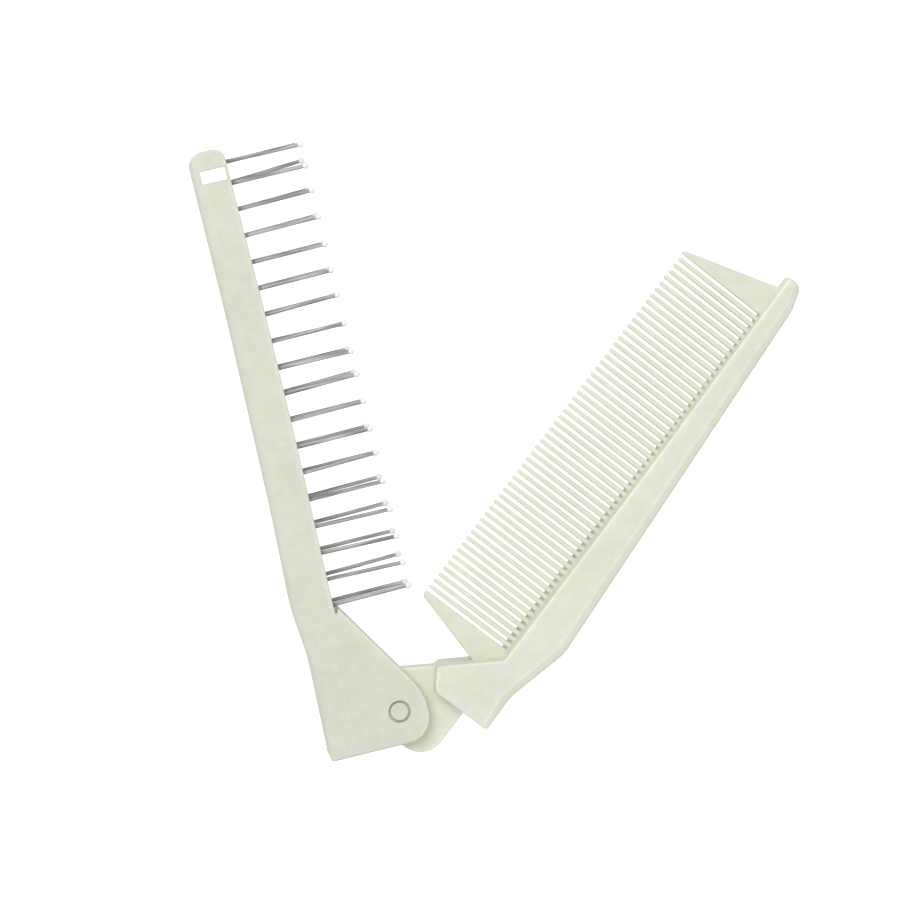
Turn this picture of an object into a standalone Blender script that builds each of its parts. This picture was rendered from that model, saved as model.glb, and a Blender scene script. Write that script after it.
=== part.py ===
"""Folding comb brush: a brush arm and a comb arm on one pivot pin, lying open.

Metres, +Z up. The origin is on the pivot's axis, at the surface that the object
lies on. The brush arm runs along +Y with its pins towards +X. The comb arm has
axes of its own: y along the comb, and x from its teeth to its back.
"""

import math

import bmesh
import bpy
from mathutils import Matrix

# Sizes shared by both arms
THICKNESS = 0.0110
MIDDLE = THICKNESS / 2
OPEN_ANGLE = math.radians(50.6)
GAP = 0.0003
BACK_ROUNDING = 0.0016
RIM_ROUNDING = 0.0003
ROUNDING_STEPS = 3
ARC_STEP = math.radians(15)
BEYOND = 0.02

# Angles that count as sharp or flat, and how close points are welded
SHARP_TURN = math.radians(57)
SHADING_TURN = math.radians(40)
FLAT_TURN = 0.001
WELD_DISTANCE = 1e-7

# Pivot: the ears of the brush arm on either side of the comb arm's tongue
FOOT_Y = -0.0060
TONGUE_THICKNESS = 0.0042
PIVOT_RADIUS = 0.0017
PIVOT_SIDES = 24
PIVOT_RECESS = 0.0002

# Channel of the brush arm
WALL = 0.0013
CHANNEL_FLOOR_X = -0.0106
CHANNEL_START_Y = 0.0203
CHANNEL_END_Y = 0.1043
WINDOW_X = (-0.0125, -0.0080)
WINDOW_Y = (0.0997, 0.10195)

# Pins of the brush
PIN_COUNT = 18
FIRST_PIN_Y = 0.10275
SECOND_PIN_Y = 0.09878
PIN_PITCH = 0.0048385
PIN_ROW_OFFSET = 0.0034
PIN_RADIUS = 0.00038
BALL_RADIUS = 0.00062
PIN_TIP_X = (0.0067, 0.0075)
SOCKET_DEPTH = 0.0015
SOCKET_CLEARANCE = 0.00015
PIN_SIDES = 8
BALL_STEPS = 5

# How far each pin leans towards the far end, in degrees, from the far end on
PIN_LEANS = {
    "a": (1, 3.9, 2.4, 2.3, 1.2, 1.6, 1.6, 0, 0.6, 2.4, 0.6, 1, 0.7, 1.7, 1.4, 0.3, 1.7, 0.7),
    "b": (0, 0.4, 1.5, 1.5, 1, 1.1, 2.2, 1, 0.1, 1.9, 1.4, 0.7, 2, 0.6, -0.5, -1, -1.1, 0.8),
}

# Toothed blade of the comb arm
TOOTH_COUNT = 55
TOOTH_PITCH = 0.0013796
FIRST_GUARD_Y = 0.01986
TOOTH_TIP_X = -0.00875
TOOTH_ROOT_X = 0.0097
TOOTH_ROOT_HALF_WIDTH = 0.00046
TOOTH_TIP_HALF_WIDTH = 0.00039
GUARD_TIP_HALF_WIDTHS = (0.00088, 0.00045)
BLADE_THICKNESS = 0.0018
BLADE_BACK_X = 0.0110
BLADE_START_Y = 0.0190
BLADE_END_Y = 0.10292
LOWER_GUARD_FOOT = ((0.0095, BLADE_START_Y), (0.0053, 0.0152))

# Back of the comb arm
COMB_FACE_X = 0.0095
COMB_CORNER_Y = 0.0186
SHOULDER_X = 0.0004
SHOULDER_Y = 0.0105
LIP_RELIEF_X = 0.0014
GROOVE_X = (0.0050, 0.0113)
GROOVE_Y = (0.0180, BLADE_END_Y + GAP)
TAPER_START_Y = 0.0235
COMB_END_Y = 0.1054
COMB_END_THICKNESS = 0.0046

# Corner points of the brush arm from above: x, y, corner radius
BRUSH_BACK = (
    (-0.01393, FOOT_Y, 0.0012),
    (-0.01352, 0.0125, 0.025),
    (-0.01450, 0.0218, 0.030),
    (-0.01395, 0.0400, 0.100),
    (-0.01364, 0.0750, 0.300),
    (-0.01397, 0.1054, 0.0024),
    (-0.00755, 0.1054, 0.0020),
    (-0.00695, 0.0750, 0.300),
    (-0.00686, 0.0500, 0.300),
    (-0.00716, 0.0199, 0),
    (-0.00638, 0.0209, 0.0003),
    (0.00522, 0.0024, 0.0107),
    (0.00522, FOOT_Y, 0.0048),
)

# Corner points of the comb arm's back in its own axes: x, y, corner radius
COMB_BACK = (
    (0.01480, 0.0066, 0.0008),
    (0.01478, 0.0143, 0.010),
    (0.01782, 0.0261, 0.008),
    (0.01370, 0.1006, 0.005),
    (0.01235, COMB_END_Y, 0.0017),
    (0.00940, COMB_END_Y, 0.0005),
    (0.00970, 0.0600, 0),
    (COMB_FACE_X, COMB_CORNER_Y, 0.0005),
    (SHOULDER_X, SHOULDER_Y, 0.0007),
    (0.00295, 0.0067, 0.0012),
)

# Corner points of the tongue in the comb arm's axes: x, y, corner radius
TONGUE = (
    (0.0100, 0.0135, 0),
    (0.0100, -0.0050, 0.0050),
    (-0.0065, -0.0050, 0.0045),
    (-0.0065, 0.0039, 0.0045),
    (0.0075, 0.0162, 0),
)

# The edges with the wide rounding are those past these lines: x, y
BRUSH_ROUNDED_PAST = (-0.0115, -0.0030)
COMB_ROUNDED_PAST = (0.0112, 0.0091)

# Colours, roughness and metallic value of each material
PLASTIC = ((0.72, 0.76, 0.62, 1.0), 0.45, 0.0)
COMB_PLASTIC = ((0.75, 0.78, 0.66, 1.0), 0.45, 0.0)
STEEL = ((0.36, 0.35, 0.36, 1.0), 0.32, 1.0)


def remove_everything():
    for item in list(bpy.data.objects):
        bpy.data.objects.remove(item, do_unlink=True)


def new_collection(name):
    collection = bpy.data.collections.new(name)
    bpy.context.scene.collection.children.link(collection)
    return collection


def new_empty(name, turn):
    empty = bpy.data.objects.new(name, None)
    empty.rotation_euler.z = turn
    parts.objects.link(empty)
    return empty


def new_material(name, look):
    colour, roughness, metallic = look
    material = bpy.data.materials.new(name)
    material.use_nodes = True
    shader = material.node_tree.nodes["Principled BSDF"]
    shader.inputs["Base Color"].default_value = colour
    shader.inputs["Roughness"].default_value = roughness
    shader.inputs["Metallic"].default_value = metallic
    return material


def finish(solid, arm, material):
    """Puts a finished piece on its arm, with its material."""
    solid.parent = arm
    solid.data.materials.clear()
    solid.data.materials.append(material)
    return solid


def as_cutter(solid, arm):
    solid.parent = arm
    solid.hide_render = True
    solid.display_type = "WIRE"
    parts.objects.unlink(solid)
    cutters.objects.link(solid)
    return solid


def with_arcs(corners):
    """The closed outline through these corners, each replaced by an arc of its radius."""
    outline = []
    neighbours = zip(corners[-1:] + corners[:-1], corners, corners[1:] + corners[:1])
    for (ax, ay, _), (x, y, radius), (bx, by, _) in neighbours:
        to_a = math.atan2(ay - y, ax - x)
        to_b = math.atan2(by - y, bx - x)
        opening = (to_b - to_a) % math.tau
        side = 1 if opening < math.pi else -1
        half = min(opening, math.tau - opening) / 2
        reach = radius / math.sin(half)
        middle = to_a + side * half
        centre_x = x + reach * math.cos(middle)
        centre_y = y + reach * math.sin(middle)
        turn = math.pi - 2 * half
        steps = max(2, math.ceil(turn / ARC_STEP)) if radius else 0
        for step in range(steps + 1):
            share = step / steps if steps else 0.5
            angle = middle + math.pi + side * turn * (0.5 - share)
            outline.append((centre_x + radius * math.cos(angle), centre_y + radius * math.sin(angle)))
    return outline


def plate(name, outline, bottom, top):
    """A flat piece with this outline, from the height bottom to the height top."""
    curve = bpy.data.curves.new(name, "CURVE")
    curve.dimensions = "2D"
    curve.fill_mode = "BOTH"
    curve.extrude = (top - bottom) / 2
    spline = curve.splines.new("POLY")
    spline.points.add(len(outline) - 1)
    for point, (x, y) in zip(spline.points, outline):
        point.co = (x, y, 0, 1)
    spline.use_cyclic_u = True
    guide = bpy.data.objects.new(name + "_outline", curve)
    guide.location.z = (bottom + top) / 2
    parts.objects.link(guide)
    bpy.context.view_layer.update()
    graph = bpy.context.evaluated_depsgraph_get()
    mesh = bpy.data.meshes.new_from_object(guide.evaluated_get(graph))
    mesh.name = name
    merge_flat_faces(mesh)
    solid = bpy.data.objects.new(name, mesh)
    solid.matrix_world = guide.matrix_world
    parts.objects.link(solid)
    bpy.data.objects.remove(guide, do_unlink=True)
    return solid


def merge_flat_faces(mesh):
    """Welds the caps to the sides and makes each flat cap one face."""
    shape = bmesh.new()
    shape.from_mesh(mesh)
    bmesh.ops.remove_doubles(shape, verts=shape.verts, dist=WELD_DISTANCE)
    bmesh.ops.dissolve_limit(shape, angle_limit=FLAT_TURN, verts=shape.verts, edges=shape.edges)
    bmesh.ops.recalc_face_normals(shape, faces=shape.faces)
    shape.to_mesh(mesh)
    shape.free()


def box(name, x_range, y_range, z_range):
    bpy.ops.mesh.primitive_cube_add(size=1)
    solid = bpy.context.object
    solid.name = name
    solid.location = [sum(span) / 2 for span in (x_range, y_range, z_range)]
    solid.scale = [max(span) - min(span) for span in (x_range, y_range, z_range)]
    claim(solid)
    return solid


def cylinder(name, radius, z_range):
    bpy.ops.mesh.primitive_cylinder_add(
        vertices=PIVOT_SIDES, radius=radius, depth=z_range[1] - z_range[0]
    )
    solid = bpy.context.object
    solid.name = name
    solid.location.z = sum(z_range) / 2
    claim(solid)
    return solid


def claim(solid):
    """Moves a new primitive to the object's collection."""
    for collection in list(solid.users_collection):
        collection.objects.unlink(solid)
    parts.objects.link(solid)


def taper(solid, start_y, end_y, end_thickness):
    """Thins a plate evenly on both faces, from its full thickness at start_y."""
    shape = bmesh.new()
    shape.from_mesh(solid.data)
    everything = shape.verts[:] + shape.edges[:] + shape.faces[:]
    bmesh.ops.bisect_plane(shape, geom=everything, plane_co=(0, start_y, 0), plane_no=(0, 1, 0))
    for vertex in shape.verts:
        share = max(0, (vertex.co.y - start_y) / (end_y - start_y))
        vertex.co.z *= 1 - share * (1 - end_thickness / THICKNESS)
    shape.to_mesh(solid.data)
    shape.free()


def soften(solid, on_back):
    """Rounds the rims of a plate: widely where on_back(x, y) is true, and slightly elsewhere."""
    shape = bmesh.new()
    shape.from_mesh(solid.data)
    weights = shape.edges.layers.float.new("bevel_weight_edge")
    for edge in shape.edges:
        start, end = (vertex.co for vertex in edge.verts)
        if start.z * end.z < 0 or edge.calc_face_angle(0) < SHARP_TURN:
            continue
        middle = (start + end) / 2
        edge[weights] = 1 if on_back(middle.x, middle.y) else RIM_ROUNDING / BACK_ROUNDING
    shape.to_mesh(solid.data)
    shape.free()
    bevel = solid.modifiers.new("rounding", "BEVEL")
    bevel.limit_method = "WEIGHT"
    bevel.width = BACK_ROUNDING
    bevel.segments = ROUNDING_STEPS


def cut(solid, cutter):
    boolean = solid.modifiers.new(cutter.name, "BOOLEAN")
    boolean.operation = "DIFFERENCE"
    boolean.object = cutter


def join(solid, other):
    boolean = solid.modifiers.new(other.name, "BOOLEAN")
    boolean.operation = "UNION"
    boolean.object = other


def make_brush_handle(arm):
    handle = plate("brush_handle", with_arcs(BRUSH_BACK), 0, THICKNESS)
    past_x, past_y = BRUSH_ROUNDED_PAST
    soften(handle, lambda x, y: x < past_x and y > past_y)
    for cutter in brush_cutters():
        cut(handle, as_cutter(cutter, arm))
    return finish(handle, arm, new_material("brush_plastic", PLASTIC))


def brush_cutters():
    slot = TONGUE_THICKNESS / 2 + GAP
    yield box(
        "channel",
        (CHANNEL_FLOOR_X, BEYOND),
        (CHANNEL_START_Y, CHANNEL_END_Y),
        (WALL, THICKNESS - WALL),
    )
    yield box(
        "tongue_slot",
        (CHANNEL_FLOOR_X, BEYOND),
        (-BEYOND, CHANNEL_START_Y + GAP),
        (MIDDLE - slot, MIDDLE + slot),
    )
    yield box("window", WINDOW_X, WINDOW_Y, (-BEYOND, BEYOND))
    yield cylinder("ear_bore", PIVOT_RADIUS + GAP, (-BEYOND, BEYOND))
    yield pin_sockets()


def pin_y(number):
    """The place of this pin along its row. The first stands closer to the second than the rest do."""
    if number == 0:
        return FIRST_PIN_Y
    return SECOND_PIN_Y - (number - 1) * PIN_PITCH


def pin_rows():
    """Row, its height, and the number and lean of each pin. Row a is the lower one."""
    for row, side in (("a", -1), ("b", 1)):
        for number, lean in enumerate(PIN_LEANS[row]):
            yield row, MIDDLE + side * PIN_ROW_OFFSET, number, math.radians(lean)


def pin_sockets():
    """One mesh with a short round hole in the channel's floor for each pin."""
    shape = bmesh.new()
    for _, z, number, _ in pin_rows():
        place = Matrix.Translation((CHANNEL_FLOOR_X, pin_y(number), z))
        place = place @ Matrix.Rotation(math.pi / 2, 4, "Y")
        bmesh.ops.create_cone(
            shape,
            cap_ends=True,
            segments=PIN_SIDES,
            radius1=PIN_RADIUS + SOCKET_CLEARANCE,
            radius2=PIN_RADIUS + SOCKET_CLEARANCE,
            depth=2 * SOCKET_DEPTH,
            matrix=place,
        )
    mesh = bpy.data.meshes.new("pin_sockets")
    shape.to_mesh(mesh)
    shape.free()
    sockets = bpy.data.objects.new("pin_sockets", mesh)
    parts.objects.link(sockets)
    return sockets


def pin_profile(length):
    """Radius and height of the turned pin, from the top of its ball down to its foot."""
    neck = math.pi - math.asin(PIN_RADIUS / BALL_RADIUS)
    ball = [
        (BALL_RADIUS * math.sin(neck * step / BALL_STEPS), BALL_RADIUS * math.cos(neck * step / BALL_STEPS))
        for step in range(BALL_STEPS + 1)
    ]
    points = [(radius, length - BALL_RADIUS + height) for radius, height in ball]
    return points + [(PIN_RADIUS, 0), (0, 0)]


def turned_mesh(name, profile):
    """The profile as a line of edges, for a Screw modifier to turn."""
    mesh = bpy.data.meshes.new(name)
    vertices = [(radius, 0, height) for radius, height in profile]
    edges = [(index, index + 1) for index in range(len(profile) - 1)]
    mesh.from_pydata(vertices, edges, [])
    return mesh


def turn(solid, sides):
    screw = solid.modifiers.new("turning", "SCREW")
    screw.steps = sides
    screw.render_steps = sides
    screw.use_merge_vertices = True
    screw.merge_threshold = WELD_DISTANCE
    screw.use_smooth_shade = True


def make_pins(arm):
    """Pins that stand in their sockets and grow a little longer from the far end to the pivot."""
    material = new_material("pin_steel", STEEL)
    foot_x = CHANNEL_FLOOR_X - SOCKET_DEPTH + GAP
    first_tip_x, last_tip_x = PIN_TIP_X
    for row, z, number, lean in pin_rows():
        name = f"pin_{row}_{number + 1:02d}"
        tip_x = first_tip_x + (last_tip_x - first_tip_x) * number / (PIN_COUNT - 1)
        pin = bpy.data.objects.new(name, turned_mesh(name, pin_profile(tip_x - foot_x)))
        pin.location = (foot_x, pin_y(number), z)
        pin.rotation_euler = (0, math.pi / 2, lean)
        parts.objects.link(pin)
        turn(pin, PIN_SIDES)
        finish(pin, arm, material)


def make_pivot_pin(arm):
    pin = cylinder("pivot_pin", PIVOT_RADIUS, (0, THICKNESS - PIVOT_RECESS))
    pin.data.shade_smooth()
    pin.data.set_sharp_from_angle(angle=SHADING_TURN)
    return finish(pin, arm, new_material("pivot_plastic", PLASTIC))


def make_comb_handle(arm):
    handle = plate("comb_handle", with_arcs(COMB_BACK), 0, THICKNESS)
    taper(handle, TAPER_START_Y, COMB_END_Y, COMB_END_THICKNESS)
    past_x, past_y = COMB_ROUNDED_PAST
    soften(handle, lambda x, y: x > past_x and y > past_y)
    relief = box("lip_relief", (-BEYOND, LIP_RELIEF_X), (0, COMB_CORNER_Y), (-BEYOND, MIDDLE))
    cut(handle, as_cutter(relief, arm))
    half = TONGUE_THICKNESS / 2
    tongue = plate("tongue", with_arcs(TONGUE), MIDDLE - half, MIDDLE + half)
    join(handle, as_cutter(tongue, arm))
    groove_half = BLADE_THICKNESS / 2 + GAP
    groove_z = (MIDDLE - groove_half, MIDDLE + groove_half)
    groove = box("blade_groove", GROOVE_X, GROOVE_Y, groove_z)
    cut(handle, as_cutter(groove, arm))
    bore = cylinder("tongue_bore", PIVOT_RADIUS + GAP, (-BEYOND, BEYOND))
    cut(handle, as_cutter(bore, arm))
    return finish(handle, arm, new_material("comb_plastic", COMB_PLASTIC))


def blade_outline():
    """The toothed blade: the lower guard, the teeth in order, the upper guard and the back."""
    last_guard_y = FIRST_GUARD_Y + (TOOTH_COUNT + 1) * TOOTH_PITCH
    root, tip = TOOTH_ROOT_HALF_WIDTH, TOOTH_TIP_HALF_WIDTH
    lower_guard, upper_guard = GUARD_TIP_HALF_WIDTHS
    points = [(BLADE_BACK_X, BLADE_START_Y), *LOWER_GUARD_FOOT]
    points += [(TOOTH_TIP_X, FIRST_GUARD_Y - lower_guard), (TOOTH_TIP_X, FIRST_GUARD_Y + tip)]
    points += [(TOOTH_ROOT_X, FIRST_GUARD_Y + root)]
    for number in range(1, TOOTH_COUNT + 1):
        y = FIRST_GUARD_Y + number * TOOTH_PITCH
        points += [(TOOTH_ROOT_X, y - root), (TOOTH_TIP_X, y - tip)]
        points += [(TOOTH_TIP_X, y + tip), (TOOTH_ROOT_X, y + root)]
    points += [(TOOTH_ROOT_X, last_guard_y - root), (TOOTH_TIP_X, last_guard_y - tip)]
    points += [(TOOTH_TIP_X, last_guard_y + upper_guard), (TOOTH_ROOT_X, BLADE_END_Y)]
    points += [(BLADE_BACK_X, BLADE_END_Y)]
    return points


def make_comb_teeth(arm):
    half = BLADE_THICKNESS / 2
    teeth = plate("comb_teeth", blade_outline(), MIDDLE - half, MIDDLE + half)
    return finish(teeth, arm, new_material("teeth_plastic", COMB_PLASTIC))


remove_everything()
parts = new_collection("folding_comb_brush")
cutters = new_collection("cutters")
brush_arm = new_empty("brush_arm", 0)
comb_arm = new_empty("comb_arm", -OPEN_ANGLE)
make_brush_handle(brush_arm)
make_pins(brush_arm)
make_pivot_pin(brush_arm)
make_comb_handle(comb_arm)
make_comb_teeth(comb_arm)
bpy.context.view_layer.update()
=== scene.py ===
import math

import bpy
import numpy as np
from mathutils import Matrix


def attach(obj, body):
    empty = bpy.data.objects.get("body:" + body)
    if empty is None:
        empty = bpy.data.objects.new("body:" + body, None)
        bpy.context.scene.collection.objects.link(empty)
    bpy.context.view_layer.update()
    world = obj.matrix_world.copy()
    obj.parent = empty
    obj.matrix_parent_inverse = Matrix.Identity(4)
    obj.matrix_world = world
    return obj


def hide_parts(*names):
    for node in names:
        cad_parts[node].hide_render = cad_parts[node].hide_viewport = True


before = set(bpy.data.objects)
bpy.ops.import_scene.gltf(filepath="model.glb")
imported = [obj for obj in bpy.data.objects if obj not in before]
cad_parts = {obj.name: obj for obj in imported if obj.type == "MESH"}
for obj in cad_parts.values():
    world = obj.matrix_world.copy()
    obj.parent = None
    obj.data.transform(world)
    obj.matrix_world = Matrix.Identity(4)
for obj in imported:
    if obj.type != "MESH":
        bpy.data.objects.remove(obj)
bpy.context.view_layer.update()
scene = bpy.context.scene

# Sizes are in millimetres, from the pivot. The brush lies along y. The comb has axes of its own,
# y along it and x from its teeth to its back, which are turned by openAngle where it lies open.
mm = 0.001
thickness = 11.0
middle = thickness / 2
openAngle = math.radians(50.6)
quarterTurn = math.pi / 2

camera = {
    "place": (-36.3, 92.3, 600.0),
    "turn": (-3.344, -6.338, -13.145),  # degrees
    "lens": 132.7,
    "sensor": 36,
    "clip": (0.01, 20),  # metres
}


def makeCamera(look):
    lens = bpy.data.cameras.new("camera")
    lens.sensor_width = look["sensor"]
    lens.lens = look["lens"]
    lens.clip_start, lens.clip_end = look["clip"]
    holder = bpy.data.objects.new("camera", lens)
    holder.location = [value * mm for value in look["place"]]
    holder.rotation_euler = [math.radians(angle) for angle in look["turn"]]
    scene.collection.objects.link(holder)
    scene.camera = holder


makeCamera(camera)
print("camera placed")


# Outlines and meshes

def smoothOutline(corners, arcStep=math.radians(6)):
    # Closed outline through corners (x, y, radius): each is an arc of its radius that touches both its sides
    points = np.array([corner[:2] for corner in corners], float)
    radii = np.array([corner[2] for corner in corners], float)
    toLast = np.roll(points, 1, axis=0) - points
    toNext = np.roll(points, -1, axis=0) - points
    angleLast = np.arctan2(toLast[:, 1], toLast[:, 0])
    angleNext = np.arctan2(toNext[:, 1], toNext[:, 0])
    opening = (angleNext - angleLast) % math.tau
    side = np.where(opening < math.pi, 1.0, -1.0)
    half = np.minimum(opening, math.tau - opening) / 2
    bisector = angleLast + side * half
    centres = points + (radii / np.sin(half))[:, None] * np.c_[np.cos(bisector), np.sin(bisector)]
    pieces = []
    for centre, radius, direction, sign, turn in zip(centres, radii, bisector, side, math.pi - 2 * half):
        steps = max(2, math.ceil(turn / arcStep))
        angles = direction + math.pi + sign * turn * (0.5 - np.linspace(0, 1, steps + 1))
        pieces.append(centre + radius * np.c_[np.cos(angles), np.sin(angles)])
    return np.concatenate(pieces)


def sidesAt(outline, y, hair=0.001):
    # The outline's two chains from its lowest y to its highest, read as x over y: the left and the right one
    outline = np.roll(outline, -int(np.argmin(outline[:, 1])), axis=0)
    top = int(np.argmax(outline[:, 1]))
    first, second = outline[: top + 1], np.r_[outline[top:], outline[:1]][::-1]
    y = np.clip(y, outline[0, 1] + hair, outline[top, 1] - hair)  # a flat end has its whole width there
    xs = [np.interp(y, np.maximum.accumulate(chain[:, 1]), chain[:, 0]) for chain in (first, second)]
    return np.minimum(*xs), np.maximum(*xs)


def stationsAlong(start, end, spacing, fineAt=(), fineCount=10):
    # Even stations from start to end, with finer ones crowded towards each (place, reach) by a cosine
    parts = [np.linspace(start, end, max(2, round((end - start) / spacing) + 1))]
    for place, reach in fineAt:
        crowd = reach * (1 - np.cos(np.linspace(0, quarterTurn, fineCount)))
        parts += [place - crowd, place + crowd]
    stations = np.unique(np.round(np.concatenate(parts), 4))
    return stations[(stations >= start) & (stations <= end)]


def outlineStations(size):
    # The outline's stations along y, crowded at its start, its end and fineAt, and its two sides at each
    outline = smoothOutline(size["outline"])
    start, end = outline[:, 1].min(), outline[:, 1].max()
    ends = zip((start, end), size["endReaches"])
    crowded = [(place, reach) for place, reaches in ends for reach in reaches]
    y = stationsAlong(start, end, size["spacing"], [*crowded, *size["fineAt"]])
    return start, end, y, *sidesAt(outline, y)


def roundedEnd(y, end, reach):
    # How much the half thickness loses near an end: a quarter of a circle of radius reach
    near = np.clip(1 - np.abs(y - end) / reach, 0, 1)
    return reach * (1 - np.sqrt(1 - near**2))


def growingRim(y, start, rim, power=0.7):
    # A rim that grows from its first value to its full one over a length, quickly at first
    first, full, length = rim
    return first + (full - first) * np.clip((y - start) / length, 0, 1) ** power


def gridFaces(rows, columns):
    # Quads between neighbouring rows of a grid of points, with the last column joined to the first
    row, column = np.meshgrid(np.arange(rows - 1), np.arange(columns), indexing="ij")
    following = (column + 1) % columns
    corners = [row * columns + column, row * columns + following]
    corners += [(row + 1) * columns + following, (row + 1) * columns + column]
    return np.stack(corners, axis=-1).reshape(-1, 4)


def closedFaces(rows, columns):
    # The grid's quads with one face over its first row and one over its last
    last = (rows - 1) * columns
    ends = [list(range(columns))[::-1], list(range(last, last + columns))]
    return gridFaces(rows, columns).tolist() + ends


def signedVolume(points, faces):
    # Sum of the tetrahedra from the origin to the triangles that fan out from each face's first corner
    total = 0.0
    for face in faces:
        corners = points[face]
        total += np.einsum("ij,j->", np.cross(corners[1:-1], corners[2:]), corners[0])
    return total


def newPiece(name, points, faces, highlight=None):
    # A mesh object from points in millimetres, with its faces turned outwards
    if signedVolume(points, faces) < 0:
        faces = [face[::-1] for face in faces]
    mesh = bpy.data.meshes.new(name)
    mesh.from_pydata((points * mm).tolist(), [], faces)
    # the attribute carries painted light: highlights along rims, chamfers and the crease, and teeth paler
    # away from the back's shade
    if highlight is not None:
        edgeHighlight = mesh.attributes.new("edgeHighlight", "FLOAT", "POINT")
        edgeHighlight.data.foreach_set("value", highlight.astype(np.float32).ravel())
    mesh.update()
    piece = bpy.data.objects.new(name, mesh)
    scene.collection.objects.link(piece)
    return piece


# Rim shapes are rows of inset, drop and painted highlight, from the side up to the face, for a rim that
# reaches 1 mm
def roundRim(steps=6, highlightFrom=0.3):
    # A quarter of a circle, with a painted highlight from the given angle up
    angles = np.linspace(0, quarterTurn, steps)
    return np.c_[1 - np.cos(angles), 1 - np.sin(angles), np.clip(angles - highlightFrom, 0, 1)]


def chamferRim(slope, radius, highlit, steps=5):
    # A shallow straight chamfer down from the face, then an arc that ends upright at the side
    tilt = math.atan(slope)
    reach = radius * math.tan((quarterTurn - tilt) / 2)
    angles = np.linspace(0, quarterTurn - tilt, steps)
    bend = np.c_[radius * (1 - np.cos(angles)), slope + reach - radius * np.sin(angles), np.zeros(steps)]
    # painted highlight along the chamfer, strongest where it meets the face
    highlightAt = ((0.75, 0.0), (0.93, 0.6), (1.0, 1.0))
    return np.r_[bend, [(share, slope * (1 - share), highlit * highlight) for share, highlight in highlightAt]]


# What all bars share: the ridge where the halves of the mould met, and how the painted highlight fades over
# the faces
barDetail = {
    "rimMost": 0.98,  # of half the bar's width or thickness
    "ridgeReach": (0.09, 0.5),  # and its most as a share of the upright side
    "rimFade": ((0.12, 0.1, 0.5), (0.8, 0.25, 0.0)),  # distance, its most as a share of the face, and painted highlight
    "plainLines": (0.35, 0.5, 0.65),  # across a face that has no crease
    "creaseLines": ((0.45, 0), (0.1, 0.25), (-0.1, 0.25), (-0.45, 0)),  # distance from the crease, and painted highlight
    "creaseFade": (2, 6),  # over its start, and over its end
    "creaseClear": (0.5, 0.3, 0.02),  # from lowX's rim, its most as a share, and from the lines near highX
}


def loftedBar(name, y, lowX, highX, half, lowRim, highRim, lowShape=None, highShape=None, centreZ=middle,
              crown=0.0, seam=0.0, lowLip=0.0, crease=None):
    # Section over y: a box from lowX to highX and 2 * half thick, whose edges follow the rim shapes times
    # lowRim and highRim. crown domes both faces by a parabola, seam is the height of the mould's ridge,
    # lowLip is how far the lower half stands out at lowX, and crease is a line (x, start, end) painted with a
    # highlight.
    lowShape = roundRim() if lowShape is None else lowShape
    highShape = roundRim() if highShape is None else highShape
    y, lowX, highX, half, lowRim, highRim = np.broadcast_arrays(y, lowX, highX, half, lowRim, highRim)
    lowX, highX, half = lowX + seam, highX - seam, half - crown
    most = np.minimum(half, (highX - lowX) / 2) * barDetail["rimMost"]
    lowRim, highRim = np.minimum(lowRim, most), np.minimum(highRim, most)
    flat = (highX - highRim) - (lowX + lowRim)
    columns = []

    def corner(side, level, shape):
        rim, edge = (highRim, highX) if side > 0 else (lowRim, lowX - (lowLip if level < 0 else 0))
        for inset, drop, highlight in shape:
            columns.append((edge - side * rim * inset, level * (half - rim * drop), highlight))

    def ridge(side):
        rim, edge = (highRim, highX) if side > 0 else (lowRim, lowX)
        reach, share = barDetail["ridgeReach"]
        reach = np.minimum(reach, (half - rim) * share)
        for level, height in ((-side, 0.0), (0, seam), (side, 0.0)):
            lip = lowLip if side < 0 and level < 0 else 0
            columns.append((edge + side * height - lip, level * reach, 0.0))

    def creasePlaces(lowEnd, highEnd):
        line, start, end = crease
        fadeIn, fadeOut = barDetail["creaseFade"]
        clear, clearShare, clearLines = barDetail["creaseClear"]
        highlit = np.clip((y - start) / fadeIn, 0, 1) * np.clip((end - y) / fadeOut, 0, 1)
        least, greatest = lowEnd + np.minimum(clear, flat * clearShare), highEnd - clearLines
        for distance, highlight in barDetail["creaseLines"]:
            apart = distance * 0.01  # where the face is narrow the lines stay in order
            yield np.clip(line + distance, least, greatest) + apart, highlight * highlit

    def face(level):
        near = [(np.minimum(distance, flat * share), highlight) for distance, share, highlight in barDetail["rimFade"]]
        start = highX - highRim
        end = lowX + lowRim - (lowLip if level < 0 else 0)
        places = [(start - distance, highlight * highShape[-1][2]) for distance, highlight in near]
        if crease:
            places += list(creasePlaces(end, places[1][0]))
        else:
            places += [(start * (1 - share) + end * share, 0.0) for share in barDetail["plainLines"]]
        places += [(end + distance, highlight * lowShape[-1][2]) for distance, highlight in near[::-1]]
        for x, highlight in places if level > 0 else places[::-1]:
            part = np.clip((start - x) / np.maximum(flat, 0.01), 0, 1)
            columns.append((x, level * (half + crown * (1 - (2 * part - 1) ** 2)), highlight))

    corner(1, -1, highShape[::-1])
    ridge(1)
    corner(1, 1, highShape)
    face(1)
    corner(-1, 1, lowShape[::-1])
    ridge(-1)
    corner(-1, -1, lowShape)
    face(-1)
    x, z, highlight = (np.stack([np.broadcast_to(column[part], y.shape) for column in columns], axis=1)
                  for part in range(3))
    points = np.stack([x, np.repeat(y[:, None], x.shape[1], 1), z + centreZ], axis=-1).reshape(-1, 3)
    return newPiece(name, points, closedFaces(*x.shape), highlight)


def turned(name, profile, sides=64):
    # The profile (radius, z) carried once round the pivot's axis, and closed at both ends
    profile = np.array(profile, float)
    angles = np.linspace(0, math.tau, sides, endpoint=False)
    x, y = profile[:, :1] * np.cos(angles), profile[:, :1] * np.sin(angles)
    points = np.stack([x, y, np.repeat(profile[:, 1:], sides, axis=1)], axis=-1).reshape(-1, 3)
    return newPiece(name, points, closedFaces(len(profile), sides))


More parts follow.
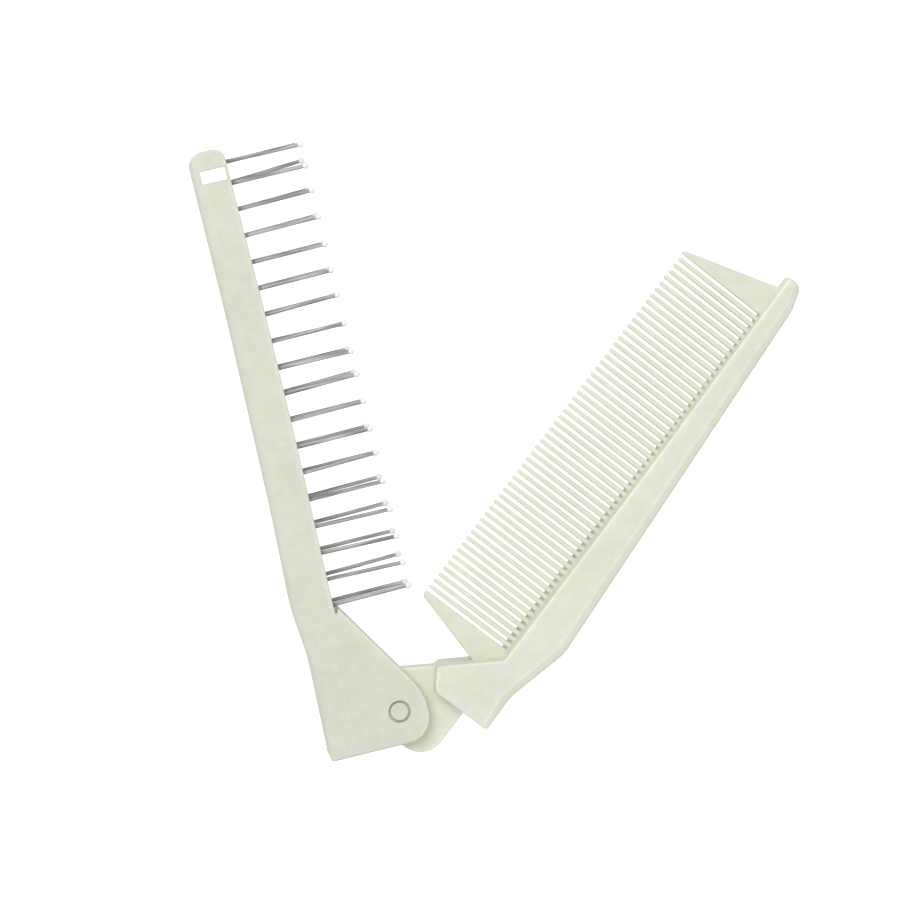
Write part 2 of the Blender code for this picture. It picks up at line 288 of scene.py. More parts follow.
def plateBetween(name, corners, low, high, rim, spacing=2.0, endReach=1.5):
    # The outline as a plate between two heights, with rounded rims
    plate = {"outline": corners, "spacing": spacing, "endReaches": ((endReach,), (endReach,)),
             "fineAt": [(corner[1], corner[2] + 1) for corner in corners]}
    _, _, y, lowX, highX = outlineStations(plate)
    return loftedBar(name, y, lowX, highX, (high - low) / 2, rim, rim, centreZ=(low + high) / 2)


def hole(name, sections):
    # A straight-sided hole: rings of four corners from (x low, x high, y low, y high, z), joined in order
    points = [(x, y, z) for lowX, highX, lowY, highY, z in sections
              for x, y in ((lowX, lowY), (highX, lowY), (highX, highY), (lowX, highY))]
    return newPiece(name, np.array(points, float), closedFaces(len(sections), 4))


def cutAway(piece, cutters):
    # Takes the cutters out of the piece, and leaves plain faces behind
    for cutter in cutters:
        boolean = piece.modifiers.new(cutter.name, "BOOLEAN")
        boolean.operation = "DIFFERENCE"
        boolean.object = cutter
    bpy.context.view_layer.update()
    finished = piece.evaluated_get(bpy.context.evaluated_depsgraph_get())
    cutMesh = bpy.data.meshes.new_from_object(finished)
    cutMesh.name = piece.name
    piece.modifiers.clear()
    piece.data = cutMesh
    for cutter in cutters:
        bpy.data.objects.remove(cutter, do_unlink=True)
    return piece


def layOpen(piece):
    # From the comb's own axes to where it lies open: a turn by openAngle about the pivot
    places = np.empty(len(piece.data.vertices) * 3, np.float32)
    piece.data.vertices.foreach_get("co", places)
    c, s = math.cos(-openAngle), math.sin(-openAngle)
    places = places.reshape(-1, 3) @ np.array([[c, s, 0], [-s, c, 0], [0, 0, 1]], np.float32)
    piece.data.vertices.foreach_set("co", places.ravel())
    piece.data.update()
    return piece


def dress(piece, body, material, sharp=32):
    # sharp is the least angle in degrees that stays a crease
    piece.data.materials.clear()
    piece.data.materials.append(material)
    piece.data.shade_smooth()
    piece.data.set_sharp_from_angle(angle=math.radians(sharp))
    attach(piece, body)
    return piece


# Materials: colours are linear
# the last value of each finish is the strength of its painted highlight on marked rims
finishes = {
    "brushPlastic": dict(colour=(0.697, 0.720, 0.598), roughness=0.42, mottling=0.09, tint=0.08, highlight=0.12),
    # the comb's colour is its own plus painted light: paler than the brush, where more light falls
    "combPlastic": dict(colour=(0.770, 0.797, 0.668), roughness=0.40, mottling=0.09, tint=0.08, highlight=0.10),
    "teethPlastic": dict(colour=(0.752, 0.783, 0.637), roughness=0.38, mottling=0.08, tint=0.08, highlight=0.05),
    # the tongue is the comb's plastic painted paler, to offset the shade of the ear and the shoulder around
    # it
    "tonguePlasticPaintedLight": dict(colour=(0.790, 0.815, 0.676), roughness=0.40, mottling=0.08, tint=0.08, highlight=0.10),
    "pivotPlastic": dict(colour=(0.680, 0.708, 0.596), roughness=0.46, mottling=0.16, tint=0.05, highlight=0.06),
    "beadPlastic": dict(colour=(0.960, 0.962, 0.955), roughness=0.28, mottling=0.02, tint=0.01, highlight=0.0),
}
patterns = {  # scale, detail and shift of each noise in the moulded plastic
    "broad": (70, 2, 0.0),
    "patches": (330, 2, 0.4),
    "fine": (900, 3, 0.7),
    "grain": (5200, 2, 0.0),
    "warmth": (420, 2, 1.3),
}
mouldedDetail = {
    "broadShare": 0.35,  # of the mottling
    "patchShare": 0.35,
    "fineShare": 0.3,
    "mottlingGain": 4.0,
    "highlightUneven": (1.2, 0.4),  # how far the fine noise breaks up the painted highlight, and its least
    "blueGain": 3.0,
    "unevenGloss": 0.25,
    "grainShare": 0.5,  # of the relief
    "reliefHeight": 0.0002,  # metres
}
steel = {
    "dark": (0.27, 0.254, 0.261),
    "light": (0.60, 0.575, 0.585),
    "roughness": 0.70,
    "metallic": 0.2,
    "streakTurn": -24,  # degrees
    "streakScale": (160, 1900, 1900),
    "contrast": 3.2,
    "relief": (0.3, 0.0001),  # strength, and height in metres
    "unevenGloss": 0.3,
    "rootShadeEnd": -6.3,  # the painted shade at the root ends here along x, and is darkest one fade length before it
    "rootShadeFade": 0.9,
}


def fill(tree, socket, value):
    if isinstance(value, bpy.types.NodeSocket):
        tree.links.new(value, socket)
    else:
        socket.default_value = value


def addNode(tree, kind, **values):
    node = tree.nodes.new(kind)
    for name, value in values.items():
        fill(tree, node.inputs[name], value)
    return node


def maths(tree, operation, *values):
    node = tree.nodes.new("ShaderNodeMath")
    node.operation = operation
    for socket, value in zip(node.inputs, values):
        fill(tree, socket, value)
    return node.outputs[0]


def newMaterial(name):
    material = bpy.data.materials.new(name)
    material.use_nodes = True
    return material, material.node_tree, material.node_tree.nodes["Principled BSDF"]


def mouldedGroup(detail):
    # Moulded plastic: mottling on three scales, patches of a warmer tint, a painted highlight that makes
    # marked edges paler, and a fine grain
    group = bpy.data.node_groups.new("mouldedSurface", "ShaderNodeTree")
    sockets = [("Colour", "INPUT", "Color"), ("Mottling", "INPUT", "Float"), ("Tint", "INPUT", "Float"),
               ("Highlight", "INPUT", "Float"), ("Roughness", "INPUT", "Float"), ("Colour", "OUTPUT", "Color"),
               ("Roughness", "OUTPUT", "Float"), ("Height", "OUTPUT", "Float")]
    for name, way, kind in sockets:
        group.interface.new_socket(name, in_out=way, socket_type="NodeSocket" + kind)
    entry, leave = group.nodes.new("NodeGroupInput"), group.nodes.new("NodeGroupOutput")
    place = group.nodes.new("ShaderNodeTexCoord").outputs["Object"]

    def noise(name):
        scale, octaves, shift = patterns[name]
        moved = addNode(group, "ShaderNodeMapping", Vector=place, Location=(shift, shift, shift)).outputs[0]
        return addNode(group, "ShaderNodeTexNoise", Vector=moved, Scale=scale, Detail=octaves).outputs["Fac"]

    broad, patches, fine = noise("broad"), noise("patches"), noise("fine")
    blend = maths(group, "MULTIPLY", fine, detail["fineShare"])
    blend = maths(group, "MULTIPLY_ADD", patches, detail["patchShare"], blend)
    blend = maths(group, "MULTIPLY_ADD", broad, detail["broadShare"], blend)
    offset = maths(group, "MULTIPLY", maths(group, "SUBTRACT", blend, 0.5), entry.outputs["Mottling"])
    # painted highlight: where the mesh's attribute marks rims, chamfers, the crease and the teeth away from
    # the back, the colour is made paler
    edge = group.nodes.new("ShaderNodeAttribute")
    edge.attribute_name = "edgeHighlight"
    broken = maths(group, "MULTIPLY_ADD", fine, *detail["highlightUneven"])
    highlit = maths(group, "MULTIPLY", edge.outputs["Fac"], broken)
    mottled = maths(group, "MULTIPLY_ADD", offset, detail["mottlingGain"], 1.0)
    gain = maths(group, "MULTIPLY_ADD", highlit, entry.outputs["Highlight"], mottled)
    warm = maths(group, "MULTIPLY", maths(group, "SUBTRACT", noise("warmth"), 0.5), entry.outputs["Tint"])
    blue = maths(group, "MULTIPLY_ADD", warm, detail["blueGain"], gain)
    gains = addNode(group, "ShaderNodeCombineXYZ", X=gain, Y=gain, Z=blue)
    colour = group.nodes.new("ShaderNodeVectorMath")
    colour.operation = "MULTIPLY"
    group.links.new(entry.outputs["Colour"], colour.inputs[0])
    group.links.new(gains.outputs[0], colour.inputs[1])
    group.links.new(colour.outputs[0], leave.inputs["Colour"])
    uneven = maths(group, "SUBTRACT", patches, 0.5)
    roughness = maths(group, "MULTIPLY_ADD", uneven, detail["unevenGloss"], entry.outputs["Roughness"])
    height = maths(group, "MULTIPLY_ADD", noise("grain"), detail["grainShare"], fine)
    group.links.new(roughness, leave.inputs["Roughness"])
    group.links.new(height, leave.inputs["Height"])
    return group


moulded = mouldedGroup(mouldedDetail)


def mouldedPlastic(name, bump=0.12):
    look = finishes[name]
    material, tree, shader = newMaterial(name)
    surface = tree.nodes.new("ShaderNodeGroup")
    surface.node_tree = moulded
    surface.inputs["Colour"].default_value = (*look["colour"], 1)
    for socket in ("Mottling", "Tint", "Highlight", "Roughness"):
        surface.inputs[socket].default_value = look[socket.lower()]
    height, distance = surface.outputs["Height"], mouldedDetail["reliefHeight"]
    relief = addNode(tree, "ShaderNodeBump", Strength=bump, Distance=distance, Height=height)
    tree.links.new(surface.outputs["Colour"], shader.inputs["Base Color"])
    tree.links.new(surface.outputs["Roughness"], shader.inputs["Roughness"])
    tree.links.new(relief.outputs["Normal"], shader.inputs["Normal"])
    return material


def drawnSteel(look):
    # Fine streaks that run slantwise along the drawn wire, with painted shade near its root in the back,
    # where the back shades it
    material, tree, shader = newMaterial("drawnSteel")
    place = tree.nodes.new("ShaderNodeTexCoord").outputs["Object"]
    turn = (0, 0, math.radians(look["streakTurn"]))
    slanted = addNode(tree, "ShaderNodeMapping", Vector=place, Rotation=turn, Scale=look["streakScale"])
    streaks = addNode(tree, "ShaderNodeTexNoise", Vector=slanted.outputs[0], Scale=1.0, Detail=3.0)
    streaks = streaks.outputs["Fac"]
    share = maths(tree, "MULTIPLY_ADD", maths(tree, "SUBTRACT", streaks, 0.5), look["contrast"], 0.5)
    height = addNode(tree, "ShaderNodeSeparateXYZ", Vector=place).outputs["X"]
    # painted shade: the colour darkens towards the root, in the back's shadow
    fade = look["rootShadeFade"]
    unshaded = maths(tree, "MULTIPLY_ADD", height, 1000 / fade, 1 - look["rootShadeEnd"] / fade)
    unshaded = maths(tree, "MAXIMUM", maths(tree, "MINIMUM", unshaded, 1.0), 0.0)
    share = maths(tree, "MULTIPLY", share, unshaded)
    colour = tree.nodes.new("ShaderNodeMix")
    colour.data_type = "RGBA"
    tree.links.new(share, colour.inputs["Factor"])
    colour.inputs[6].default_value = (*look["dark"], 1)
    colour.inputs[7].default_value = (*look["light"], 1)
    tree.links.new(colour.outputs[2], shader.inputs["Base Color"])
    strength, distance = look["relief"]
    relief = addNode(tree, "ShaderNodeBump", Strength=strength, Distance=distance, Height=streaks)
    tree.links.new(relief.outputs["Normal"], shader.inputs["Normal"])
    uneven = look["unevenGloss"]
    roughness = maths(tree, "MULTIPLY_ADD", streaks, uneven, look["roughness"] - uneven / 2)
    tree.links.new(roughness, shader.inputs["Roughness"])
    shader.inputs["Metallic"].default_value = look["metallic"]
    return material


brushPlastic, combPlastic = mouldedPlastic("brushPlastic"), mouldedPlastic("combPlastic")
teethPlastic, tonguePlasticPaintedLight = mouldedPlastic("teethPlastic"), mouldedPlastic("tonguePlasticPaintedLight")
pivotPlastic, beadPlastic = mouldedPlastic("pivotPlastic"), mouldedPlastic("beadPlastic", bump=0.03)
steelWire = drawnSteel(steel)
print("materials made")


# Brush arm. Outlines are corners x, y and corner radius
brushArm = {
    "outline": ((-13.93, -6.0, 0.45), (-13.52, 12.5, 25), (-14.50, 21.8, 30), (-13.95, 40, 100),
                (-13.64, 75, 300), (-13.97, 105.4, 2.4), (-7.55, 105.4, 2.0), (-6.95, 75, 300),
                (-6.86, 50, 300), (-7.16, 21.0, 0.05), (-6.42, 20.85, 0.25), (5.22, 2.4, 10.7),
                (5.22, -6.0, 4.8)),
    "spacing": 1.5,
    "endReaches": ((5, 1), (3,)),  # how far the stations crowd from the foot, and from the far end
    "fineAt": ((2.4, 6), (12.5, 4), (20.6, 1.2), (21.8, 4)),  # place along y, and reach
    "backRim": (0.6, 1.6, 5),  # at the foot, its full reach, and the length over which it grows
    "backShape": (0.32, 0.48, 0.1),  # slope, radius and painted highlight
    "innerRim": 0.35,
    "endRim": 0.45,
    "crown": 0.04,
    "seam": 0.03,
    # a painted highlight along a faint crease of the ear's face: x, and where it starts and ends along y
    "crease": (-9.2, -5.0, 17.0),
    "wall": 1.3,
    "channel": ((-10.6, 20.3, 0.3), (-10.6, 104.3, 0.3), (20, 104.3, 0.3), (20, 20.3, 0.3)),
    "channelRim": 0.3,
    "slot": ((-10.6, -20, 1), (-10.6, 20.6, 0.05), (20, 20.6, 0.05), (20, -20, 1)),
    "slotHalf": 2.4,
    "slotRim": 0.2,
    "window": (-12.5, -8.0, 99.7, 101.95),
    "windowFlare": 0.12,
    "windowDraft": (0.9, 0.35),  # how much wider and longer the lower wall's opening is
    "notch": ((-7.16, 19.9, 0.05), (-7.16, 22, 0.1), (-6.45, 22, 0.1), (-6.5, 20.7, 0.05),
              (-6.95, 19.9, 0.05)),
    "notchRim": 0.01,
    "notchPast": 5,  # how far the cut goes beyond both faces
    "boreRadius": 2.0,
    "boreChamfer": 0.1,
}


def windowSections(size, past=0.5, inside=0.2):
    # The window through both walls, with flared mouths. Its lower wall's opening is the wider one
    lowX, highX, lowY, highY = size["window"]
    wider, longer = size["windowDraft"]
    flare, wall = size["windowFlare"], size["wall"]
    levels = [(-past, flare + past, 1), (flare, 0, 1), (wall + inside, 0, 1)]
    levels += [(thickness - wall - inside, 0, 0), (thickness - flare, 0, 0)]
    levels += [(thickness + past, flare + past, 0)]
    return [(lowX - more, highX + more + wider * draft, lowY - more, highY + more + longer * draft, z)
            for z, more, draft in levels]


def makeBrushArm(size):
    # A bar between the outline's two sides, with rounded ends, hollowed by the channel for the comb's teeth,
    # the slot for its tongue, the window, the notch at the last pins and the pivot's bore
    start, end, y, lowX, highX = outlineStations(size)
    half = middle - roundedEnd(y, start, size["endRim"]) - roundedEnd(y, end, size["endRim"])
    body = loftedBar("brushHandle", y, lowX, highX, half, growingRim(y, start, size["backRim"]),
                     size["innerRim"], lowShape=chamferRim(*size["backShape"]), crown=size["crown"],
                     seam=size["seam"], crease=size["crease"])
    wall, slotHalf, past = size["wall"], size["slotHalf"], size["notchPast"]
    radius, chamfer = size["boreRadius"], size["boreChamfer"]
    mouth = radius + chamfer
    bore = [(mouth + 1, -1), (mouth, 0), (radius, chamfer), (radius, thickness - chamfer),
            (mouth, thickness), (mouth + 1, thickness + 1)]
    cutters = [
        plateBetween("channelCut", size["channel"], wall, thickness - wall, size["channelRim"]),
        plateBetween("slotCut", size["slot"], middle - slotHalf, middle + slotHalf, size["slotRim"]),
        hole("windowCut", windowSections(size)),
        plateBetween("notchCut", size["notch"], -past, thickness + past, size["notchRim"]),
        turned("boreCut", bore),
    ]
    return cutAway(body, cutters)


brushHandle = dress(makeBrushArm(brushArm), "brush_arm", brushPlastic)
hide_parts("brush_handle")
print("brush handle made")

# Comb arm's back and its tongue, in the comb's own axes
combArm = {
    "outline": ((14.80, 6.6, 0.8), (14.78, 14.3, 10), (17.82, 26.1, 8), (13.70, 100.6, 5),
                (12.35, 105.4, 2.2), (9.40, 105.4, 0.5), (9.70, 60, 0.05), (9.50, 18.6, 0.5),
                (0.40, 10.5, 0.7), (2.95, 6.7, 1.2)),
    "spacing": 1.5,
    "endReaches": ((2,), (3,)),
    "fineAt": ((10.5, 1.5), (14.3, 3), (18.6, 1.2), (26.1, 4)),
    "backRim": (0.5, 1.6, 5),
    "backShape": (0.26, 0.42, 1.0),
    "innerRim": 0.40,
    "endRim": 0.35,
    "noseRim": 0.8,
    "crown": 0.03,
    "seam": 0.03,
    "lip": 0.12,
    "lipRise": (19, 2),  # where it starts and over what length
    "lipFall": (100, 40),  # where it has ended and over what length
    "taperStart": 23.5,
    "endThickness": 4.6,
    "relief": (-5, 1.4, -1, 18),  # the shoulder's lower half stands back here: x from, x to, y from, y to
}
tongue = {
    "outline": ((10.0, 15.0, 0.3), (10.0, -4.78, 4.75), (-6.5, -4.78, 4.5), (-6.5, 4.1, 4.5),
                (6.5, 15.5, 0.3)),
    "spacing": 0.8,
    "endReaches": ((5,), ()),
    "fineAt": ((3.9, 4),),
    "half": 2.1,
    "rim": 0.4,
    "boreRadius": 2.0,
}


def makeCombBack(size):
    # A bar between the outline's two sides, whose thickness tapers evenly to its far end and is rounded there
    start, end, y, lowX, highX = outlineStations(size)
    taper = np.clip((y - size["taperStart"]) / (end - size["taperStart"]), 0, 1)
    half = middle - taper * (middle - size["endThickness"] / 2)
    half = half - roundedEnd(y, start, size["endRim"]) - roundedEnd(y, end, size["noseRim"])
    (rise, riseLength), (fall, fallLength) = size["lipRise"], size["lipFall"]
    lip = size["lip"] * np.clip((y - rise) / riseLength, 0, 1) * np.clip((fall - y) / fallLength, 0, 1)
    body = loftedBar("combHandle", y, lowX, highX, half, size["innerRim"],
                     growingRim(y, start, size["backRim"]), highShape=chamferRim(*size["backShape"]),
                     crown=size["crown"], seam=size["seam"], lowLip=lip)
    relief = [(*size["relief"], z) for z in (-4, middle - tongue["half"])]
    return cutAway(body, [hole("reliefCut", relief)])


def makeTongue(size):
    # A flat bar between the outline's two sides, with a rounded end and the pivot's bore
    start, _, y, lowX, highX = outlineStations(size)
    half = size["half"] - roundedEnd(y, start, size["rim"])
    plate = loftedBar("combTongue", y, lowX, highX, half, size["rim"], size["rim"])
    bore = [(size["boreRadius"], -1), (size["boreRadius"], thickness + 1)]
    return cutAway(plate, [turned("tongueBore", bore)])


combHandle = dress(layOpen(makeCombBack(combArm)), "comb_arm", combPlastic)
# the tongue's paler copy of the comb's plastic is painted light against the shade around it
combTongue = dress(layOpen(makeTongue(tongue)), "comb_arm", tonguePlasticPaintedLight)
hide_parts("comb_handle")
print("comb handle made")

# Toothed blade, in the comb's own axes
blade = {
    "teeth": 55,
    "pitch": 1.3796,
    "firstGuard": 19.86,
    "tipX": -8.75,
    "rootX": 9.7,
    "rootHalf": 0.46,
    "tipHalf": 0.39,
    "back": 11.0,
    "end": 102.92,
    "lowerFoot": ((11.0, 18.0), (6.3, 14.95)),  # inside the shoulder
    "guardTips": (0.88, 0.36),  # from a guard's place in the pitch to its outer edge: the lower, the upper
    "lowGuardTip": ((0.45, -0.05), (0.08, 0.3)),  # corners, from tipX and from that edge
    "highGuardTip": ((0.12, -0.1), (0.45, 0.1)),
    "guardSetback": 0.25,  # of a guard's inner corner, from tipX
    "guardFlats": (0.1, 0.05),  # corners at tipX, this far below the guards' places
    "half": 0.9,
    "tipShare": 0.62,
    "rim": (0.33, 0.5),  # across the tooth, and down its side
    "guardRim": (0.42, 0.3),
    "rimRows": 5,
    "mitreLeast": 0.6,  # keeps a sharp corner from moving in too far
    "paintedPaleFrom": (1, 5),  # the teeth are painted paler away from the back's shade: how far from the root, and over what length
}


def toothLine(size):
    # One tooth from the middle of the gap below it to the middle of the gap above: fillet, flank, round tip
    # and back
    pitch, rootX, rootHalf = size["pitch"], size["rootX"], size["rootHalf"]
    tipX, tipHalf = size["tipX"], size["tipHalf"]
    fillet = pitch / 2 - rootHalf
    turn = np.linspace(0, quarterTurn, 4)[:-1]
    root = np.c_[rootX - fillet * np.sin(turn), -pitch / 2 + fillet * (1 - np.cos(turn))]
    across = np.linspace(0, 1, 4)
    flankX = rootX - fillet + (tipX + tipHalf - rootX + fillet) * across
    flank = np.c_[flankX, -rootHalf + (rootHalf - tipHalf) * across]
    bow = np.linspace(-quarterTurn, 0, 5)[1:]
    tip = np.c_[tipX + tipHalf * (1 - np.cos(bow)), tipHalf * np.sin(bow)]
    lower = np.concatenate([root, flank, tip])
    return np.concatenate([lower, lower[-2::-1] * (1, -1)])


def bladeOutline(size):
    # The teeth's line repeated by the pitch and closed by the guards: x and y, whether the point is on a
    # guard's outer edge, and how much paler the tooth is painted there, away from the back's shade
    first, tipX, rootX = size["firstGuard"], size["tipX"], size["rootX"]
    tipHalf, rootHalf = size["tipHalf"], size["rootHalf"]
    fillet = size["pitch"] / 2 - rootHalf
    places = first + size["pitch"] * np.arange(1, size["teeth"] + 1)
    shifts = np.stack([np.zeros_like(places), places], axis=1)
    teeth = (toothLine(size)[None] + shifts[:, None]).reshape(-1, 2)
    last = first + size["pitch"] * (size["teeth"] + 1)
    lowTip, highTip = size["guardTips"]
    inner, (lowFlat, highFlat) = size["guardSetback"], size["guardFlats"]
    lowGuard = [*size["lowerFoot"], *((tipX + x, first - lowTip + y) for x, y in size["lowGuardTip"])]
    lowGuard += [(tipX, first - lowFlat), (tipX + inner, first + tipHalf), (rootX - fillet, first + rootHalf)]
    highGuard = [(rootX - fillet, last - rootHalf), (tipX + inner, last - tipHalf), (tipX, last - highFlat)]
    highGuard += [(tipX + x, last + highTip + y) for x, y in size["highGuardTip"]]
    highGuard += [(rootX, size["end"]), (size["back"], size["end"])]
    outline = np.concatenate([lowGuard, teeth, highGuard])
    guardEdge = np.zeros(len(outline), bool)
    guardEdge[[1, 2, -3, -2, -1]] = True
    clear, length = size["paintedPaleFrom"]
    paintedPale = np.clip((rootX - clear - outline[:, 0]) / length, 0, 1)
    paintedPale[: len(lowGuard)], paintedPale[-len(highGuard):] = 0, 0
    apart = np.r_[True, np.hypot(*np.diff(outline, axis=0).T) > 1e-4]
    outline, guardEdge, paintedPale = outline[apart], guardEdge[apart], paintedPale[apart]
    area = (outline[:, 0] * np.roll(outline[:, 1], -1) - np.roll(outline[:, 0], -1) * outline[:, 1]).sum()
    if area < 0:
        outline, guardEdge, paintedPale = outline[::-1], guardEdge[::-1], paintedPale[::-1]
    return outline, guardEdge, paintedPale


def inwardFrom(outline, mitreLeast):
    # The inward direction at each point, mitred so that both sides there move in evenly
    ahead, behind = np.roll(outline, -1, 0) - outline, outline - np.roll(outline, 1, 0)
    ahead, behind = (run / np.hypot(*run.T)[:, None] for run in (ahead, behind))
    inward = np.c_[-ahead[:, 1], ahead[:, 0]] + np.c_[-behind[:, 1], behind[:, 0]]
    return inward / np.maximum((inward**2).sum(axis=1) / 2, mitreLeast)[:, None]


def makeBlade(size):
    # The toothed outline carried round its rim, an ellipse from the side to each face. The thickness grows
    # evenly from tipShare at the tips to its full value at the back.
    outline, guardEdge, paintedPale = bladeOutline(size)
    inward = inwardFrom(outline, size["mitreLeast"])
    across, down = (np.where(guardEdge, guard, tooth) for guard, tooth in zip(size["guardRim"], size["rim"]))
    tipX, tipShare = size["tipX"], size["tipShare"]
    share = tipShare + (1 - tipShare) * (outline[:, 0] - tipX) / (size["back"] - tipX)
    angles = np.linspace(0, quarterTurn, size["rimRows"])
    rim = [(1 - math.cos(angle), 1 - math.sin(angle)) for angle in angles]
    rings = []
    for level, rows in ((-1, rim[::-1]), (1, rim)):
        for inset, drop in rows:
            flat = outline + inward * (across * inset)[:, None]
            rings.append(np.c_[flat, middle + level * (size["half"] - down * drop) * share])
    faces = closedFaces(len(rings), len(outline))
    # painted light: the teeth are paler away from the back, whose shade falls near their roots
    return newPiece("combBlade", np.concatenate(rings), faces, np.tile(paintedPale, len(rings)))


combBlade = dress(layOpen(makeBlade(blade)), "comb_arm", teethPlastic, sharp=50)
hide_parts("comb_teeth")
print("comb blade made")

# Metal pins and their white beads: leans in degrees towards the far end, from the far end on
pins = {
    "count": 18,
    "firstY": 102.75,
    "secondY": 98.78,
    "pitch": 4.8385,
    "rowOffset": 3.4,
    "radius": 0.38,
    "rodRings": 6,
    "beadRadius": 0.6,
    "beadLength": 1.25,
    "beadTurn": (0.08, math.pi - 0.55, 12),  # radians from its tip to its neck, and how many rings
    "neckInBead": 0.15,
    "footX": -11.8,
    "tipX": (6.7, 7.5),
    "leans": {
        "Lower": (1, 3.9, 2.4, 2.3, 1.2, 1.6, 1.6, 0, 0.6, 2.4, 0.6, 1, 0.7, 1.7, 1.4, 0.3, 1.7, 0.7),
        "Upper": (0, 0.4, 1.5, 1.5, 1, 1.1, 2.2, 1, 0.1, 1.9, 1.4, 0.7, 2, 0.6, -0.5, -1, -1.1, 0.8),
    },
}


def pinRow(name, size, leans, z, profiles, sides=16):
    # Each pin's profile (radius, distance along the pin) turned round its own axis, which leans in the
    # row's plane
    count, rows = profiles.shape[:2]
    number = np.arange(count)
    footY = np.where(number == 0, size["firstY"], size["secondY"] - (number - 1) * size["pitch"])
    lean = np.radians(leans)
    along = np.stack([np.cos(lean), np.sin(lean), 0 * lean], axis=1)
    across = np.stack([-np.sin(lean), np.cos(lean), 0 * lean], axis=1)
    foot = np.stack([np.full(count, size["footX"]), footY, np.full(count, z)], axis=1)
    angles = np.linspace(0, math.tau, sides, endpoint=False)[None, None, :, None]
    radius, reach = profiles[:, :, None, None, 0], profiles[:, :, None, None, 1]
    points = foot[:, None, None] + reach * along[:, None, None]
    points = points + radius * np.cos(angles) * across[:, None, None]
    points = points + radius * np.sin(angles) * np.array([0, 0, 1.0])
    onePin = closedFaces(rows, sides)
    faces = [[pin * rows * sides + corner for corner in face] for pin in range(count) for face in onePin]
    return newPiece(name, points.reshape(-1, 3), faces)


def makePins(size):
    # A rod is a straight tube up to its neck. A bead is half an ellipse turned round the pin, cut off at the
    # neck, and it ends on the pin's tip.
    count, rings, beadLength = size["count"], size["rodRings"], size["beadLength"]
    tips = np.linspace(*size["tipX"], count) - size["footX"]
    neck = tips - beadLength + size["neckInBead"]
    radii = np.broadcast_to(size["radius"], (count, rings))
    rod = np.stack([radii, neck[:, None] * np.linspace(0, 1, rings)], axis=-1)
    turn = np.linspace(*size["beadTurn"])[::-1]
    beadShape = np.c_[size["beadRadius"] * np.sin(turn), -beadLength / 2 * (1 - np.cos(turn))]
    bead = beadShape[None] + np.stack([0 * tips, tips], axis=1)[:, None]
    for row, side, letter in (("Lower", -1, "a"), ("Upper", 1, "b")):
        z, leans = middle + side * size["rowOffset"], size["leans"][row]
        rods = pinRow(f"pinRods{row}", size, leans, z, rod)
        dress(rods, "brush_arm", steelWire, sharp=60)
        beads = pinRow(f"pinBeads{row}", size, leans, z, bead)
        dress(beads, "brush_arm", beadPlastic, sharp=80)
        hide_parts(*[f"pin_{letter}_{number:02d}" for number in range(1, count + 1)])


makePins(pins)
print("pins made")

# Pivot pin: a head ringed by a groove in the ear, with its face a little lower and slightly dished
pivotPin = {
    "shaft": 1.7,
    "collar": 1.97,
    "collarFoot": 8.1,
    "head": 1.60,
    "top": 10.78,
    "groove": 10.05,
    "round": 0.16,
    "dish": 0.08,
    "faceEnd": 0.02,  # the share of the face's radius that one small flat closes
}


def makePivotPin(size):
    # Half of its profile, from the middle up over the collar, the groove, the head's round edge and its
    # face, dished by a parabola, and then the same mirrored
    shaft, collar, head, groove = size["shaft"], size["collar"], size["head"], size["groove"]
    bend = size["round"]
    turn = np.linspace(0, quarterTurn, 5)
    edge = np.c_[head - bend * (1 - np.cos(turn)), size["top"] - bend * (1 - np.sin(turn))]
    share = np.linspace(1, size["faceEnd"], 8)[1:]
    face = np.c_[(head - bend) * share, size["top"] - size["dish"] * (1 - share**2)]
    steps = [(shaft, middle), (shaft, size["collarFoot"]), (collar, size["collarFoot"]), (collar, groove),
             (head, groove)]
    upper = np.concatenate([steps, edge, face])
    lower = upper[::-1] * (1, -1) + (0, thickness)
    return turned("pivotPin", np.concatenate([lower[:-1], upper[1:]]))


pivot = dress(makePivotPin(pivotPin), "brush_arm", pivotPlastic)
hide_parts("pivot_pin")
print("pivot pin made")

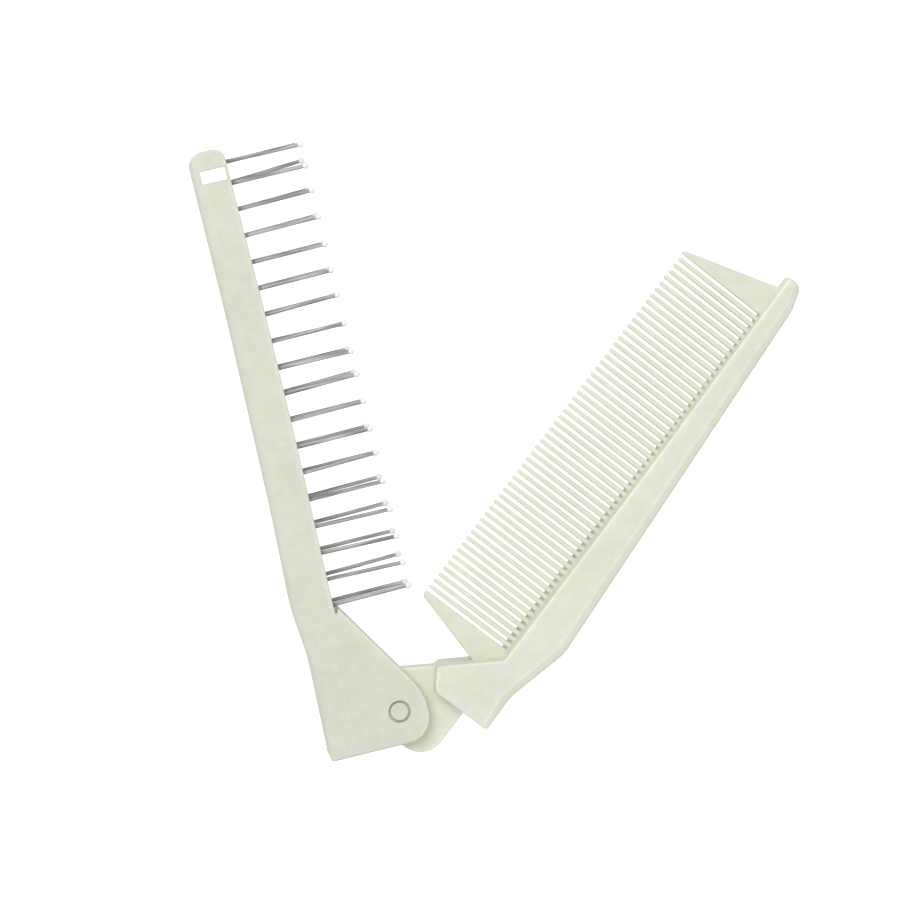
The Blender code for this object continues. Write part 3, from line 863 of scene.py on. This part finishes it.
# Studio, in metres: a plain pale table, a bright tent that darkens towards the horizon, and a soft light
# beyond the object
studio = {
    "floor": (0.55, 0.55, 0.55),
    "floorGlow": (0.32, 1.0),  # the table is lit from below: the light that it gives, and what is seen
    "floorRoughness": 0.9,
    "floorSpecular": 0.1,
    "floorHalf": 3.0,
    "floorZ": -0.05 * mm,
    "sky": (0.44, 0.83),  # at the horizon, and overhead
    "key": {"power": 4.8, "size": 0.6, "place": (-0.25, 0.60, 0.95), "aim": (0.02, 0.04, 0.0)},
}


def makeFloor(look):
    half, height = look["floorHalf"], look["floorZ"]
    corners = [(-half, -half, height), (half, -half, height), (half, half, height), (-half, half, height)]
    mesh = bpy.data.meshes.new("floor")
    mesh.from_pydata(corners, [], [(0, 1, 2, 3)])
    floor = bpy.data.objects.new("floor", mesh)
    scene.collection.objects.link(floor)
    paper, tree, shader = newMaterial("palePaper")
    shader.inputs["Base Color"].default_value = (*look["floor"], 1)
    shader.inputs["Roughness"].default_value = look["floorRoughness"]
    shader.inputs["Specular IOR Level"].default_value = look["floorSpecular"]
    shader.inputs["Emission Color"].default_value = (1, 1, 1, 1)
    given, shown = look["floorGlow"]
    seen = tree.nodes.new("ShaderNodeLightPath").outputs["Is Camera Ray"]
    glow = maths(tree, "MULTIPLY_ADD", seen, shown - given, given)
    tree.links.new(glow, shader.inputs["Emission Strength"])
    mesh.materials.append(paper)


def makeSky(look):
    world = bpy.data.worlds.new("studio")
    world.use_nodes = True
    tree = world.node_tree
    background = tree.nodes["Background"]
    direction = tree.nodes.new("ShaderNodeTexCoord").outputs["Generated"]
    height = addNode(tree, "ShaderNodeSeparateXYZ", Vector=direction).outputs["Z"]
    low, high = look["sky"]
    strength = maths(tree, "MULTIPLY_ADD", maths(tree, "MAXIMUM", height, 0.0), high - low, low)
    background.inputs["Color"].default_value = (1, 1, 1, 1)
    tree.links.new(strength, background.inputs["Strength"])
    scene.world = world


def makeKeyLight(look):
    light = bpy.data.lights.new("key", "AREA")
    light.energy = look["power"]
    light.size = look["size"]
    lamp = bpy.data.objects.new("key", light)
    lamp.location = look["place"]
    x, y, z = np.array(look["aim"]) - np.array(look["place"])
    lamp.rotation_euler = (math.atan2(math.hypot(x, y), -z), 0, math.atan2(y, x) - quarterTurn)
    scene.collection.objects.link(lamp)


makeFloor(studio)
makeSky(studio)
makeKeyLight(studio["key"])
scene.view_settings.view_transform = "Standard"
print("studio lit")
